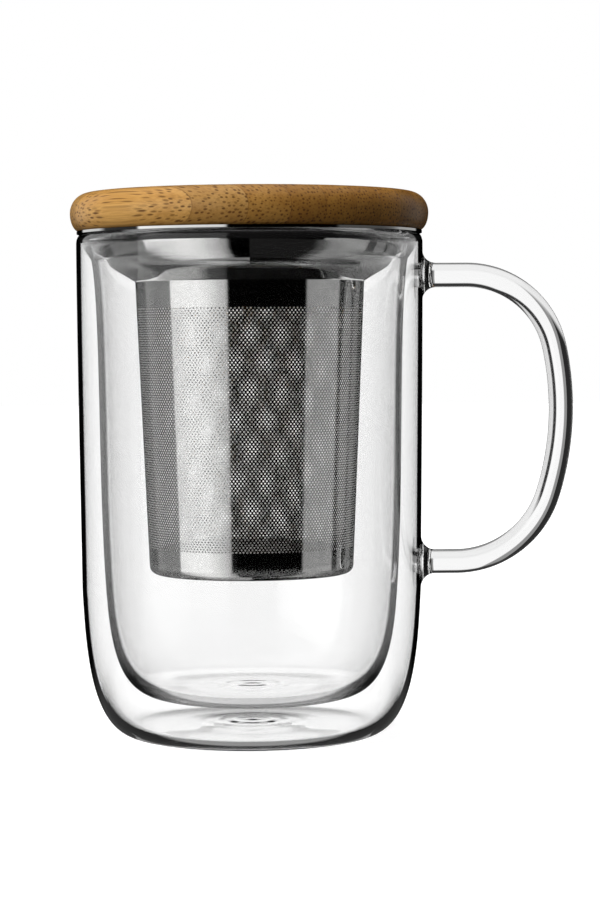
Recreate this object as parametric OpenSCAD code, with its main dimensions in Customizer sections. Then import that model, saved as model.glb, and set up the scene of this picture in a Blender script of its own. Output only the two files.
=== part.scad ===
// Lidded tea mug with a lift-out infuser.
// A double-walled glass mug with a rod handle, a perforated steel infuser that
// hangs in its mouth by a flat rim, and a bamboo lid glued up from strips.
// Millimetres, +Z up. The origin is the middle of the foot, on the surface that
// the mug stands on. The handle points along +X.

/* [Outer glass] */
// Height of the glass rim above the table
glass_height = 124; // [116:1:132]
// Outside diameter at the neck, just under the rim
neck_d = 85.5; // [83:0.5:90]
// How far the waist, where the bottom corner starts, is drawn in from the neck all round
waist_in = 0.75; // [0:0.05:2.5]
// Height of the waist above the table
waist_z = 36; // [32:1:42]
// Diameter of the flat that the mug stands on
foot_d = 56.4; // [50:0.2:62]
// Width of the ring that really touches the table
foot_ring = 9; // [6:0.5:12]
// How far the middle of the foot is pushed up inside that ring
foot_kick = 0.6; // [0.4:0.1:1.2]
// Thickness of the outer wall
outer_wall = 1.4; // [1.1:0.1:1.8]
// Thickness of the outer floor
outer_floor = 2.5; // [1.8:0.1:3.2]

/* [Inner glass] */
// Air gap between the two walls at the neck
neck_gap = 2.3; // [1.8:0.1:2.8]
// Air gap between the two walls at the waist
waist_gap = 4.5; // [3.5:0.1:5.5]
// Air gap between the two floors
floor_gap = 6.3; // [4:0.1:9]
// Thickness of the inner wall
inner_wall = 1.5; // [1.2:0.1:1.9]
// Thickness of the inner floor
inner_floor = 2; // [1.5:0.1:3]
// Diameter of the flat under the inner floor
inner_foot_d = 28.5; // [22:0.5:36]
// Height of the fused lip that closes the air gap
lip_height = 2.5; // [2:0.1:3.5]
// Distance from the neck up to the fused lip
neck_drop = 3.9; // [3:0.1:5]
// How far the fused lip stands out beyond the neck's inner wall
lip_flare = 1.8; // [1.4:0.1:2.2]
// Width of the flat on top of the fused lip
lip_land = 1; // [0.6:0.1:1.4]

/* [Handle] */
// Diameter of the glass rod
rod_d = 6; // [5:0.1:8]
// Distance from the glass rim down to the upper arm's axis
arm_drop = 10.4; // [9:0.2:14]
// Height of the lower arm's axis above the table
arm_foot_z = 42.5; // [38:0.2:50]
// How far the handle stands out from the neck
handle_depth = 37.35; // [34:0.05:44]
// Bend radius of the upper corner, at the rod's axis
top_bend_r = 22.3; // [20:0.1:24]
// Angle that the upper corner turns through
top_bend_angle = 77.6; // [72:0.2:80]
// Bend radius of the lower corner, at the rod's axis
foot_bend_r = 24; // [21:0.1:26]
// Angle that the lower corner turns through
foot_bend_angle = 72.6; // [68:0.2:76]
// How far the melted joint spreads beyond the rod at the upper arm
top_weld_flare = 3.2; // [2:0.1:3.6]
// How far the melted joint spreads beyond the rod at the lower arm
foot_weld_flare = 3.7; // [2:0.1:4.2]
// Length of the melted joints along the arms
weld_length = 3.4; // [2:0.1:4]

/* [Infuser] */
// Thickness of the drawn steel of the rim, bowl and base
steel = 0.6; // [0.4:0.1:0.8]
// Thickness of the perforated sheet
screen_steel = 0.4; // [0.3:0.1:0.5]
// How far the flat rim stays inside the edge of the glass it rests on
plate_inset = 0.15; // [0:0.05:1]
// Clearance between the bowl and the neck of the inner glass
bowl_gap = 0.45; // [0.3:0.05:1]
// Depth of the bowl below the rim
bowl_depth = 11.8; // [10:0.2:14]
// Radius of the bend between the rim and the bowl
rim_bend = 1.8; // [1.4:0.1:2.2]
// Outside diameter of the basket at its top
basket_top_d = 56.6; // [52:0.2:58]
// Outside diameter of the basket at its bottom
basket_foot_d = 50.6; // [46:0.2:52]
// Length of the basket below the bowl
basket_length = 72; // [64:1:78]
// Plain band of the sheet above the holes
plain_top = 6.6; // [5:0.1:9]
// Plain band of the sheet below the holes
plain_foot = 4.8; // [4:0.1:8]
// Width of the plain strip along the sheet's welded seam
seam_width = 4; // [3:0.1:6]
// Number of rows of holes
hole_rows = 24; // [12:1:26]
// Number of places for a hole around each row
holes_around = 48; // [32:1:50]
// Diameter of a hole
hole_d = 1.4; // [1:0.1:1.5]
// Height of the collar's sleeve and of the base's wall inside the sheet
sleeve_height = 4; // [3:0.1:4.4]
// Radius of the base's rounded edge
base_round = 2; // [1.6:0.1:2.4]
// Gap that the welds fill between the sheet and the pieces inside it
weld_gap = 0.05; // [0.03:0.01:0.1]

/* [Lid] */
// How far the bamboo board stands out beyond the neck of the glass
lid_overhang = 1.45; // [0.5:0.05:4]
// Thickness of the bamboo board
lid_thickness = 9.4; // [8:0.1:12]
// Height of the rounding at the board's upper edge
round_up = 5; // [4:0.1:5]
// Width of the rounding at the board's upper edge
round_in = 4.6; // [3:0.1:6]
// Width of the rounding at the board's lower edge
under_in = 2.4; // [1.5:0.1:3]
// Number of bamboo strips in the board
strip_count = 12; // [8:2:14]
// Width of the two strips cut at the board's sides, as a share of a whole strip
side_share = 0.67; // [0.5:0.01:1]
// Distance from the middle of the board to its middle glue joint
joint_shift = -0.2; // [-1:0.1:1]
// Direction of the bamboo's fibres, turned from +X
grain_angle = -45; // [-90:5:90]
// Clearance between the plug under the board and the infuser's bowl
plug_gap = 3; // [2:0.1:5]
// Depth of the plug
plug_depth = 6; // [5:0.2:7]
// Thickness of the silicone ring
ring_thickness = 2; // [1.6:0.1:2.4]
// Depth of the groove that holds the ring
groove_depth = 2; // [1.5:0.1:2.5]
// Distance from the board down to the groove
groove_drop = 0.8; // [0.6:0.1:1.2]
// Gap between the ring and the infuser's bowl
ring_gap = 0.3; // [0.2:0.05:0.5]

/* [Hidden] */
STRIPS = [for (i = [1:strip_count]) str("lid_strip_", i)];

$fn = 96;
CURVE = 10;              // straight steps that stand for one smooth curve
SLACK = 1;               // how far a cutting tool reaches past what it cuts
ROD_SIDES = 24;          // flats around the handle's rod
BEND_STEPS = 10;         // lengths along each of its bends
WELD_STEPS = 5;          // rings across the face and along the flare of a melted joint

// Glass. A point is [radius, height].
lip_z = glass_height - lip_height;
neck_z = lip_z - neck_drop;
neck_r = neck_d / 2;
waist_r = neck_r - waist_in;
foot_r = foot_d / 2;
gap_neck_r = neck_r - outer_wall;
gap_waist_r = waist_r - outer_wall;
cup_neck_r = gap_neck_r - neck_gap;
cup_waist_r = gap_waist_r - waist_gap;
cup_foot_z = outer_floor + floor_gap;
cup_foot_r = inner_foot_d / 2;
lip_r = cup_neck_r - inner_wall + lip_flare;
land_in_r = lip_r + lip_land;
land_out_r = land_in_r + lip_land;

// Handle
rod_r = rod_d / 2;
arm_top_z = glass_height - arm_drop;
side_r = (arm_top_z - arm_foot_z
          - top_bend_r * (1 - cos(top_bend_angle))
          - foot_bend_r * (1 - cos(foot_bend_angle)))
         / (cos(top_bend_angle) + cos(foot_bend_angle));
side_x = neck_r + handle_depth - rod_r - side_r;
top_bend_x = side_x + (side_r - top_bend_r) * sin(top_bend_angle);
foot_bend_x = side_x + (side_r - foot_bend_r) * sin(foot_bend_angle);
side_z = arm_top_z - top_bend_r - (side_r - top_bend_r) * cos(top_bend_angle);

// Infuser
plate_r = neck_r - plate_inset;
plate_z = glass_height + steel;
bowl_r = cup_neck_r - inner_wall - bowl_gap;
bowl_foot_z = glass_height - bowl_depth;
basket_foot_z = bowl_foot_z - basket_length;
basket_top_r = basket_top_d / 2;
basket_foot_r = basket_foot_d / 2;
screen_foot_z = basket_foot_z + base_round;
basket_slope = (basket_top_r - basket_foot_r) / (basket_length - base_round);
holes_foot_z = screen_foot_z + plain_foot;
holes_top_z = bowl_foot_z - plain_top;

// Lid
lid_r = neck_r + lid_overhang;
lid_z = plate_z;
strip_width = 2 * lid_r / (strip_count - 2 + 2 * side_share);
plug_r = bowl_r - steel - plug_gap;
ring_top_z = lid_z - groove_drop;
ring_foot_z = ring_top_z - ring_thickness;

function bezier(a, b, c, d) =
    [for (i = [0:CURVE]) let (t = i / CURVE, u = 1 - t)
        u * u * u * a + 3 * u * u * t * b + 3 * u * t * t * c + t * t * t * d];

// Quarter of an ellipse about a centre, from one angle to another
function quarter(centre, radii, from, to) =
    [for (i = [0:CURVE]) let (angle = from + (to - from) * i / CURVE)
        centre + [radii[0] * cos(angle), radii[1] * sin(angle)]];

function tail(path) = [for (i = [1:len(path) - 1]) path[i]];

function reversed(path) = [for (i = [len(path) - 1:-1:0]) path[i]];

// A path moved sideways by a distance, to the left of the way it runs
function beside(path, distance) =
    [for (i = [0:len(path) - 1])
        let (back = path[max(i - 1, 0)],
             next = path[min(i + 1, len(path) - 1)],
             along = (next - back) / norm(next - back))
        path[i] + distance * [-along[1], along[0]]];

// Outside radius of the basket at a height
function basket_r(z) = basket_foot_r + (z - screen_foot_z) * basket_slope;

// Radius that a piece inside the sheet has at a height, a weld's gap clear of the flats
function inside_r(z) =
    (basket_foot_r - screen_steel) * cos(180 / holes_around) * basket_r(z) / basket_foot_r
    - weld_gap;

// One side of a blown wall: flat floor, full bottom corner, then the wall up to the neck
function floor_curve(foot, rise, ring_r) =
    bezier([0, foot + rise], [ring_r * 0.4, foot + rise], [ring_r * 0.7, foot], [ring_r, foot]);

outer_side = concat(
    floor_curve(0, foot_kick, foot_r - foot_ring),
    bezier([foot_r, 0], [foot_r + 0.89 * (waist_r - foot_r), 0],
           [waist_r - 0.02 * waist_z, 0.63 * waist_z], [waist_r, waist_z]),
    bezier([waist_r, waist_z], [waist_r + 0.3, waist_z + (lip_z - waist_z) / 3],
           [neck_r, lip_z - (lip_z - waist_z) / 4], [neck_r, lip_z]));

gap_outer_side = concat(
    floor_curve(outer_floor, foot_kick, foot_r - foot_ring),
    bezier([foot_r - outer_wall, outer_floor],
           [foot_r - outer_wall + 0.89 * (gap_waist_r - foot_r + outer_wall), outer_floor],
           [gap_waist_r - 0.02 * waist_z, 0.66 * waist_z], [gap_waist_r, waist_z]),
    bezier([gap_waist_r, waist_z], [gap_waist_r + 0.3, waist_z + (lip_z - waist_z) / 3],
           [gap_neck_r, lip_z - (lip_z - waist_z) / 4], [gap_neck_r, lip_z]));

// Radius of the outer wall against height, from the foot's corner upwards
wall_radius = [for (p = outer_side) if (p[1] > waist_z / 3) [p[1], p[0]]];

function cup_side(foot, waist, neck, lip) = concat(
    [[0, foot[1]]],
    bezier(foot, [foot[0] + 0.6 * (waist[0] - foot[0]), foot[1]],
           [waist[0] - 1.6, foot[1]], waist),
    bezier(waist, waist + [1.9, (neck[1] - waist[1]) / 3],
           neck - [2.3, (neck[1] - waist[1]) / 6], neck),
    [(neck + lip) / 2 + [-0.2, 0.2], lip]);

module outer_glass() {
    color([0.86, 0.92, 0.93, 0.35])
        rotate_extrude() polygon(concat(outer_side, reversed(gap_outer_side)));
}

module inner_glass() {
    outside = cup_side([cup_foot_r, cup_foot_z], [cup_waist_r, waist_z],
                       [cup_neck_r, neck_z], [gap_neck_r, lip_z]);
    inside = cup_side([cup_foot_r - inner_wall, cup_foot_z + inner_floor],
                      [cup_waist_r - inner_wall, waist_z],
                      [cup_neck_r - inner_wall, neck_z], [lip_r, lip_z]);
    shoulder = quarter([land_out_r, lip_z], [neck_r - land_out_r, lip_height], 0, 90);
    mouth = quarter([land_in_r, lip_z], [land_in_r - lip_r, lip_height], 90, 180);
    color([0.9, 0.95, 0.95, 0.35])
        rotate_extrude() polygon(concat(outside, shoulder, mouth, reversed(inside)));
}

// A ring of points around the rod, in the plane that holds Y and the direction "out"
function rod_ring(x, z, out, radius) =
    [for (i = [0:ROD_SIDES - 1]) let (around = 360 * i / ROD_SIDES)
        [x + radius * cos(around) * cos(out),
         radius * sin(around),
         z + radius * cos(around) * sin(out)]];

// A ring at a height and a radius, laid on the wall and moved a distance out from it
function wall_ring(z, out, radius, away) =
    [for (p = rod_ring(0, z, out, radius))
        [sqrt(pow(lookup(p[2], wall_radius), 2) - p[1] * p[1]) + away, p[1], p[2]]];

// Rings of the melted joint between an arm and the wall: across its end face, which
// follows the wall, and then out along its flare to the rod
function weld_rings(z, out, flare) = concat(
    [for (i = [1:WELD_STEPS - 1]) wall_ring(z, out, (rod_r + flare) * i / WELD_STEPS, 0)],
    [for (i = [0:WELD_STEPS])
        wall_ring(z, out, rod_r + flare * pow(1 - i / WELD_STEPS, 2),
                  weld_length * i / WELD_STEPS)]);

// Rings of the rod around a bend about [x, z], from one outward direction to another
function bend_rings(x, z, radius, from, to) =
    [for (i = [0:BEND_STEPS]) let (out = from + (to - from) * i / BEND_STEPS)
        rod_ring(x + radius * cos(out), z + radius * sin(out), out, rod_r)];

// One swept rod: upper joint and arm, three bends that run into each other, lower arm
// and joint
module handle() {
    rings = concat(
        weld_rings(arm_top_z, 90, top_weld_flare),
        bend_rings(top_bend_x, arm_top_z - top_bend_r, top_bend_r, 90, 90 - top_bend_angle),
        tail(bend_rings(side_x, side_z, side_r, 90 - top_bend_angle, foot_bend_angle - 90)),
        tail(bend_rings(foot_bend_x, arm_foot_z + foot_bend_r, foot_bend_r,
                        foot_bend_angle - 90, -90)),
        reversed(weld_rings(arm_foot_z, -90, foot_weld_flare)));
    last = len(rings) - 1;
    top_centre = len(rings) * ROD_SIDES;
    foot_centre = top_centre + 1;
    points = concat([for (ring = rings) each ring],
                    [[lookup(arm_top_z, wall_radius), 0, arm_top_z],
                     [lookup(arm_foot_z, wall_radius), 0, arm_foot_z]]);
    sides = [for (r = [0:last - 1], i = [0:ROD_SIDES - 1])
        let (j = (i + 1) % ROD_SIDES, here = r * ROD_SIDES, next = here + ROD_SIDES)
        [here + i, here + j, next + j, next + i]];
    caps = [for (i = [0:ROD_SIDES - 1]) let (j = (i + 1) % ROD_SIDES, end = last * ROD_SIDES)
        each [[top_centre, j, i], [foot_centre, end + i, end + j]]];
    color([0.84, 0.91, 0.92, 0.5])
        polyhedron(points, concat(sides, caps), convexity = 4);
}

// Flat rim, bend and bowl drawn from one sheet, ending in the sleeve inside the screen
module infuser_collar() {
    bend_z = glass_height - rim_bend;
    across = bowl_r - basket_top_r;
    fall = bend_z - bowl_foot_z;
    bowl = concat(
        [[plate_r, glass_height]],
        quarter([bowl_r + rim_bend, bend_z], [rim_bend, rim_bend], 90, 180),
        tail(bezier([bowl_r, bend_z],
                    [bowl_r - 0.24 * across, bend_z - 0.76 * fall],
                    [basket_top_r + 0.7 * across, bowl_foot_z + 0.41 * fall],
                    [basket_top_r, bowl_foot_z])));
    above = beside(bowl, -steel);
    last = above[len(above) - 1];
    sleeve_z = bowl_foot_z - sleeve_height;
    sleeve_r = inside_r(bowl_foot_z);
    sleeve_foot_r = inside_r(sleeve_z);
    color([0.78, 0.79, 0.8])
        rotate_extrude()
            polygon(concat(
                bowl,
                [[sleeve_r, bowl_foot_z], [sleeve_foot_r, sleeve_z],
                 [sleeve_foot_r - steel, sleeve_z], [sleeve_r - steel, last[1]]],
                reversed(above)));
}

// The sheet's outline at its foot, one flat to a column of holes
module sheet_outline(radius) {
    polygon([for (i = [0:holes_around - 1]) let (angle = 360 * i / holes_around)
        radius * [cos(angle), sin(angle)]]);
}

// Rolled sheet with staggered rows of holes between plain bands, and a plain seam at the
// back. Each hole stays within one flat of the sheet, a quarter of the flat from its edge.
module infuser_screen() {
    row_pitch = (holes_top_z - holes_foot_z) / (hole_rows - 1);
    sheet_height = bowl_foot_z - screen_foot_z;
    color([0.7, 0.71, 0.72])
        difference() {
            translate([0, 0, screen_foot_z])
                linear_extrude(height = sheet_height, scale = basket_top_r / basket_foot_r)
                    difference() {
                        sheet_outline(basket_foot_r);
                        sheet_outline(basket_foot_r - screen_steel);
                    }
            for (row = [0:hole_rows - 1], place = [0:holes_around - 1]) {
                angle = 360 * (place + (row % 2 == 0 ? 0.25 : 0.75)) / holes_around;
                z = holes_foot_z + row * row_pitch;
                from_seam = abs(angle - 90) * PI / 180 * basket_r(z);
                if (from_seam > (seam_width + hole_d) / 2)
                    translate([0, 0, z])
                        rotate([0, 90, angle])
                            translate([0, 0, basket_foot_r - screen_steel - SLACK])
                                cylinder(d = hole_d, $fn = 24,
                                         h = basket_top_r - basket_foot_r + screen_steel
                                             + 2 * SLACK);
            }
        }
}

// Drawn cup that closes the basket: floor, rounded edge, and a wall stepped in to fit
// inside the screen
module infuser_base() {
    wall_top_z = screen_foot_z + sleeve_height;
    wall_r = inside_r(screen_foot_z);
    wall_top_r = inside_r(wall_top_z);
    edge_r = basket_foot_r - base_round;
    color([0.74, 0.75, 0.76])
        rotate_extrude()
            polygon(concat(
                [[0, basket_foot_z]],
                quarter([edge_r, screen_foot_z], [base_round, base_round], -90, 0),
                [[wall_r, screen_foot_z], [wall_top_r, wall_top_z],
                 [wall_top_r - steel, wall_top_z]],
                quarter([edge_r - steel, screen_foot_z],
                        [wall_r - edge_r, base_round - steel], 0, -90),
                [[0, basket_foot_z + steel]]));
}

// The whole bamboo board, with its rounded edge
module board() {
    lid_top_z = lid_z + lid_thickness;
    under_up = lid_thickness - round_up;
    rotate_extrude()
        polygon(concat(
            [[0, lid_z]],
            quarter([lid_r - under_in, lid_z + under_up], [under_in, under_up], -90, 0),
            quarter([lid_r - round_in, lid_top_z - round_up], [round_in, round_up], 0, 90),
            [[0, lid_top_z]]));
}

// One strip of the board, cut from it along the fibres
module lid_strip(number) {
    near = number == 1 ? -lid_r - SLACK : joint_shift + (number - 1 - strip_count / 2) * strip_width;
    far = number == strip_count ? lid_r + SLACK
                                : joint_shift + (number - strip_count / 2) * strip_width;
    tone = 0.02 * ((number * 5) % 4);
    color([0.78 - tone, 0.6 - tone, 0.36 - tone])
        intersection() {
            board();
            rotate([0, 0, grain_angle])
                translate([-lid_r - SLACK, near, lid_z - SLACK])
                    cube([2 * (lid_r + SLACK), far - near, lid_thickness + 2 * SLACK]);
        }
}

// Plug turned from bamboo, with the groove for the silicone ring
module lid_plug() {
    chamfer = 0.8;
    groove_r = plug_r - groove_depth;
    color([0.74, 0.56, 0.34])
        rotate_extrude()
            polygon([[0, lid_z - plug_depth],
                     [plug_r - chamfer, lid_z - plug_depth],
                     [plug_r, lid_z - plug_depth + chamfer],
                     [plug_r, ring_foot_z], [groove_r, ring_foot_z],
                     [groove_r, ring_top_z], [plug_r, ring_top_z],
                     [plug_r, lid_z], [0, lid_z]]);
}

// Silicone ring: a square root in the groove and a thin lip that wipes the bowl
module lid_seal() {
    root_r = plug_r - groove_depth;
    lip_tip_r = bowl_r - steel - ring_gap;
    lip_half = ring_thickness / 4;
    middle_z = (ring_foot_z + ring_top_z) / 2;
    color([0.93, 0.93, 0.91])
        rotate_extrude()
            polygon([[root_r, ring_foot_z], [plug_r + 0.4, ring_foot_z],
                     [plug_r + 0.8, middle_z - lip_half], [lip_tip_r, middle_z],
                     [lip_tip_r, middle_z + lip_half], [plug_r + 0.4, ring_top_z],
                     [root_r, ring_top_z]]);
}

outer_glass();
inner_glass();
handle();
infuser_collar();
infuser_screen();
infuser_base();
lid_plug();
lid_seal();
for (i = [1:strip_count])
    lid_strip(i);
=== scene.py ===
# %% [markdown]
# # A double-walled glass mug with an infuser and a bamboo lid
# The mug is blown glass with an air gap between its walls and a solid glass rod for a
# handle. A perforated steel infuser hangs in its mouth by a flat rim, and a board glued
# up from bamboo strips lies on that rim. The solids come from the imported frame, in
# metres. This lesson replaces them with smoother surfaces and gives each one a finish.

import math

import bpy
import numpy as np
from mathutils import Euler, Matrix, Vector


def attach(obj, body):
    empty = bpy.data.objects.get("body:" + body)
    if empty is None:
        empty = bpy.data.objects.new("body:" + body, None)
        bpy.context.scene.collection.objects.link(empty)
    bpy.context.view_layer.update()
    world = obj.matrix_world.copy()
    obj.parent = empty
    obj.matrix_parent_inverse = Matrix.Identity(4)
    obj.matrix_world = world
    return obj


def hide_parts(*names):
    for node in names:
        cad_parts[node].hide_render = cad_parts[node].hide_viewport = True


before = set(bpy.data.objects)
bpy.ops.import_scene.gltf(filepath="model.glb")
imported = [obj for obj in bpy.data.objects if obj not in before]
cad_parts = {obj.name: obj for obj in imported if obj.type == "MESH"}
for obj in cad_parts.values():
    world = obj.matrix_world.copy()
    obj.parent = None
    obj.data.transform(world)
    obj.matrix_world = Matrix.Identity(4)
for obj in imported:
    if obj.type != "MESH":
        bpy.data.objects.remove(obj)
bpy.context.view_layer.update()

# %% [markdown]
# ## Helpers that turn arrays into meshes
# Every shape below is a function of two parameters, worked out for a whole grid at once.
# The grid is closed around, and its first and last rows are closed onto each other, onto
# a pole or with a cap, so no seam or hole is left.

# %% Mesh helper
MM = 0.001


def add_object(name, data):
    """A new object in the scene for a mesh, a lamp or a camera."""
    made = bpy.data.objects.new(name, data)
    bpy.context.scene.collection.objects.link(made)
    return made


def make_object(name, vertices, quads, triangles, material, body, nodes, slot, crease):
    """Puts points in millimetres, four-sided and three-sided faces into a riding mesh.

    Faces that meet at more than crease degrees keep a crisp edge between them.
    """
    quads, triangles = (np.asarray(f, np.int32).reshape(-1, n)
                        for f, n in ((quads, 4), (triangles, 3)))
    mesh = bpy.data.meshes.new(name)
    mesh.vertices.add(len(vertices))
    mesh.vertices.foreach_set("co", (np.asarray(vertices, np.float32) * MM).ravel())
    corners = np.concatenate([quads.ravel(), triangles.ravel()])
    mesh.loops.add(len(corners))
    mesh.loops.foreach_set("vertex_index", corners)
    mesh.polygons.add(len(quads) + len(triangles))
    starts = np.concatenate([np.arange(len(quads)) * 4,
                             quads.size + np.arange(len(triangles)) * 3])
    mesh.polygons.foreach_set("loop_start", starts.astype(np.int32))
    mesh.update(calc_edges=True)
    mesh.validate()
    mesh.set_sharp_from_angle(angle=math.radians(crease))
    mesh.materials.append(material)
    piece = add_object(name, mesh)
    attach(piece, body)
    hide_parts(*nodes)
    print(f"{name}: {len(vertices)} points, {2 * len(quads) + len(triangles)} triangles")


# %% [markdown]
# Numbering the points of a grid row by row makes its faces a matter of arithmetic: each
# face joins a point, its neighbour, and the two points one row further on.

# %% Grid helpers
NOWHERE = 1e-4  # lengths in mm below this count as none


def grid_faces(rows, columns, closed=False):
    """Quads between neighbours of a rows x columns grid of points.

    Corner (r, c) is point r * columns + c. The last column joins the first one, and with
    closed the last row joins the first.
    """
    r, c = np.meshgrid(np.arange(rows if closed else rows - 1), np.arange(columns),
                       indexing="ij")
    here = r * columns
    above = (r + 1) % rows * columns
    right = (c + 1) % columns
    return np.stack([here + c, here + right, above + right, above + c], -1).reshape(-1, 4)


def revolve(profile, columns):
    """Points, quads and triangles of a profile of [radius, height] turned about the axis.

    Point (i, j) is (radius_i cos a_j, radius_i sin a_j, height_i), a_j = 2 pi j / columns.
    A profile that ends on the axis gets one point and a fan of triangles there, and one
    that stays clear of it is closed to a ring. The surface faces the right-hand side of
    the way that the profile runs.
    """
    profile = np.asarray(profile, float)
    angle = np.arange(columns) * 2 * np.pi / columns
    start_pole, end_pole = profile[[0, -1], 0] < NOWHERE
    ring = profile[int(start_pole):len(profile) - int(end_pole)]
    points = np.stack([ring[:, :1] * np.cos(angle), ring[:, :1] * np.sin(angle),
                       np.broadcast_to(ring[:, 1:], (len(ring), columns))], -1).reshape(-1, 3)
    quads = grid_faces(len(ring), columns, closed=not (start_pole or end_pole))
    here, right = np.arange(columns), (np.arange(columns) + 1) % columns
    triangles = np.empty((0, 3), int)
    if start_pole:
        points = np.vstack([points, [0, 0, profile[0, 1]]])
        triangles = np.stack([np.full(columns, len(points) - 1), right, here], 1)
    if end_pole:
        points = np.vstack([points, [0, 0, profile[-1, 1]]])
        last = (len(ring) - 1) * columns
        fan = np.stack([np.full(columns, len(points) - 1), last + here, last + right], 1)
        triangles = np.vstack([triangles, fan])
    return points, quads, triangles


# %% [markdown]
# Profiles are drawn as a designer would draw them: curves with handles, parts of
# ellipses and straight lines, joined end to end.

# %% Curve helpers
def bezier(a, b, c, d, steps):
    """Cubic curve: u^3 a + 3 u^2 t b + 3 u t^2 c + t^3 d, with u = 1 - t."""
    t = np.linspace(0, 1, steps + 1)[:, None]
    u = 1 - t
    return (u**3 * np.array(a) + 3 * u * u * t * np.array(b) + 3 * u * t * t * np.array(c)
            + t**3 * np.array(d))


def quarter(centre, radii, start, end, steps):
    """Part of an ellipse: centre + (radius_x cos a, radius_z sin a), a from start to end
    degrees."""
    a = np.radians(np.linspace(start, end, steps + 1))[:, None]
    return np.array(centre) + np.hstack([radii[0] * np.cos(a), radii[1] * np.sin(a)])


def chain(*paths):
    """Paths end to end, each without the point that it shares with the one before."""
    joined = [paths[0]]
    for path in paths[1:]:
        path = np.atleast_2d(path)
        near = np.linalg.norm(path[0] - joined[-1][-1]) < NOWHERE
        joined.append(path[1:] if near else path)
    return np.vstack(joined)


# %% [markdown]
# ## Light and camera first
# Clear glass has no colour of its own. It is drawn by what it bends into view: brightness
# straight behind it gives the clear middle, and darkness beside that gives the dark
# edges. So the surroundings are settled before any material. A studio hides and shows
# cards until each surface looks right. Here that is done by asking what kind of ray
# looks out, so steel, bare glass and the rod each have a ring of panels of their own.

# %% Node helpers
def feed(taken, value):
    """Gives an input a plain number, a plain colour, or a link from another socket."""
    if isinstance(value, bpy.types.NodeSocket):
        taken.id_data.links.new(value, taken)
    else:
        taken.default_value = (*value, 1) if taken.type == "RGBA" else value


def give(made, **values):
    """Feeds inputs of a node that are named by their labels, with _ for a space."""
    for label, value in values.items():
        feed(made.inputs[label.replace("_", " ")], value)


def node(tree, kind, *sockets, **settings):
    """A new shader node. Sockets feed its inputs in their order. Settings name its
    properties, or its inputs by their labels."""
    made = tree.nodes.new(kind)
    for key, value in settings.items():
        if hasattr(made, key):
            setattr(made, key, value)
        else:
            give(made, **{key: value})
    for taken, socket in zip(made.inputs, sockets):
        feed(taken, socket)
    return made


def math_node(tree, operation, *values):
    """A Math node fed by numbers or sockets, returning its output."""
    return node(tree, "ShaderNodeMath", *values, operation=operation).outputs[0]


def ramp(tree, factor, stops, interpolation="LINEAR"):
    """A Color Ramp from (position, colour or grey) stops, returning its colour."""
    made = node(tree, "ShaderNodeValToRGB", factor)
    made.color_ramp.interpolation = interpolation
    elements = made.color_ramp.elements
    while len(elements) < len(stops):
        elements.new(0.5)
    for element, (position, colour) in zip(elements, sorted(stops, key=lambda s: s[0])):
        element.position = position
        grey = isinstance(colour, (int, float))
        element.color = (colour, colour, colour, 1) if grey else (*colour, 1)
    return made.outputs[0]


def mix_colour(tree, factor, first, second, blend="MIX"):
    """Two colours mixed by a factor, each a socket or a plain colour."""
    made = node(tree, "ShaderNodeMix", factor, data_type="RGBA", blend_type=blend)
    feed(made.inputs[6], first)
    feed(made.inputs[7], second)
    return made.outputs[2]


def new_material(name):
    """A new material, its node tree and the Principled shader in that."""
    material = bpy.data.materials.new(name)
    material.use_nodes = True
    return material, material.node_tree, material.node_tree.nodes["Principled BSDF"]


# %% [markdown]
# A ring is a list of panels at one height around the mug: a heading in degrees, 0 being
# straight behind the mug and 90 to its right, and the brightness there. Between two
# entries the brightness changes evenly, so two close entries make a panel's edge.

# %% Rings of panels
BRIGHTEST = 4.0  # the brightest that a panel can be
# Steel mirrors a softbox at the left front, dark cards, and strips of light between them
STEEL_RING = [
    (-159, 0.0), (-157, 0.85), (-152, 0.95), (-145, 1.25), (-135, 1.6), (-127, 1.75),
    (-115, 1.75), (-100, 1.5), (-95.5, 1.4), (-94, 0.26), (-73, 0.2), (-56, 0.28),
    (-51, 0.03), (-42, 0.0), (-36, 0.0), (-8, 0.0), (-6, 1.0), (6, 1.0), (8, 0.0),
    (36, 0.0), (43, 0.22), (52, 0.22), (53.5, 0.02), (57, 0.02), (59, 0.3), (70, 0.3),
    (72, 0.0), (79, 0.0), (82, 0.5), (121.5, 0.5), (123, 0.0)]
# The same softbox mirrored in a table top, well below eye level
STEEL_TABLE = [
    (-165, 0.0), (-162, 0.4), (-156, 0.7), (-151, 0.92), (-142, 1.22), (-133, 1.43),
    (-123, 1.41), (-113, 1.25), (-103, 0.95), (-97, 0.65), (-91, 0.17), (-85, 0.04),
    (-50, 0.0), (50, 0.0), (58, 0.03), (66, 0.12), (80, 0.19), (93, 0.35), (99, 0.42),
    (114, 0.42), (120, 0.2), (125, 0.12), (130, 0.02)]
# What a glass wall mirrors inside itself
WALL_RING = [(-100, 0.0), (-60, 1.0), (-28, 1.0), (-26.5, 0.0), (-8, 0.0), (-6, 1.0),
             (6, 1.0), (8, 0.0), (26.5, 0.0), (28, 1.0), (60, 1.0), (100, 0.0)]
# The outside of the glass mirrors the softbox and dim cards
GLASS_RING = [
    (-166, 0.0), (-164, 1.0), (-103, 1.4), (-101, 0.03), (-70, 0.05), (-62, 0.9),
    (-36, 0.9), (-33, 0.0), (33, 0.0), (36, 0.5), (62, 0.5), (70, 0.2), (81, 0.1),
    (119, 0.1), (121, 0.0)]
# The rod of the handle bends this into view
ROD_RING = [
    (-101, 0.02), (-14, 0.02), (-13, 0.3), (-4, 0.3), (-3, 1.0), (20, 1.0), (22, 0.03),
    (31, 0.03), (35, 0.75), (101, 0.75)]
# What lights the surfaces that scatter light
LIGHT_RING = [(-159, 0.1), (-157, 2.0), (-90, 2.0), (-88, 0.1), (80, 0.1), (82, 0.3),
              (119, 0.3), (121, 0.1)]


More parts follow.
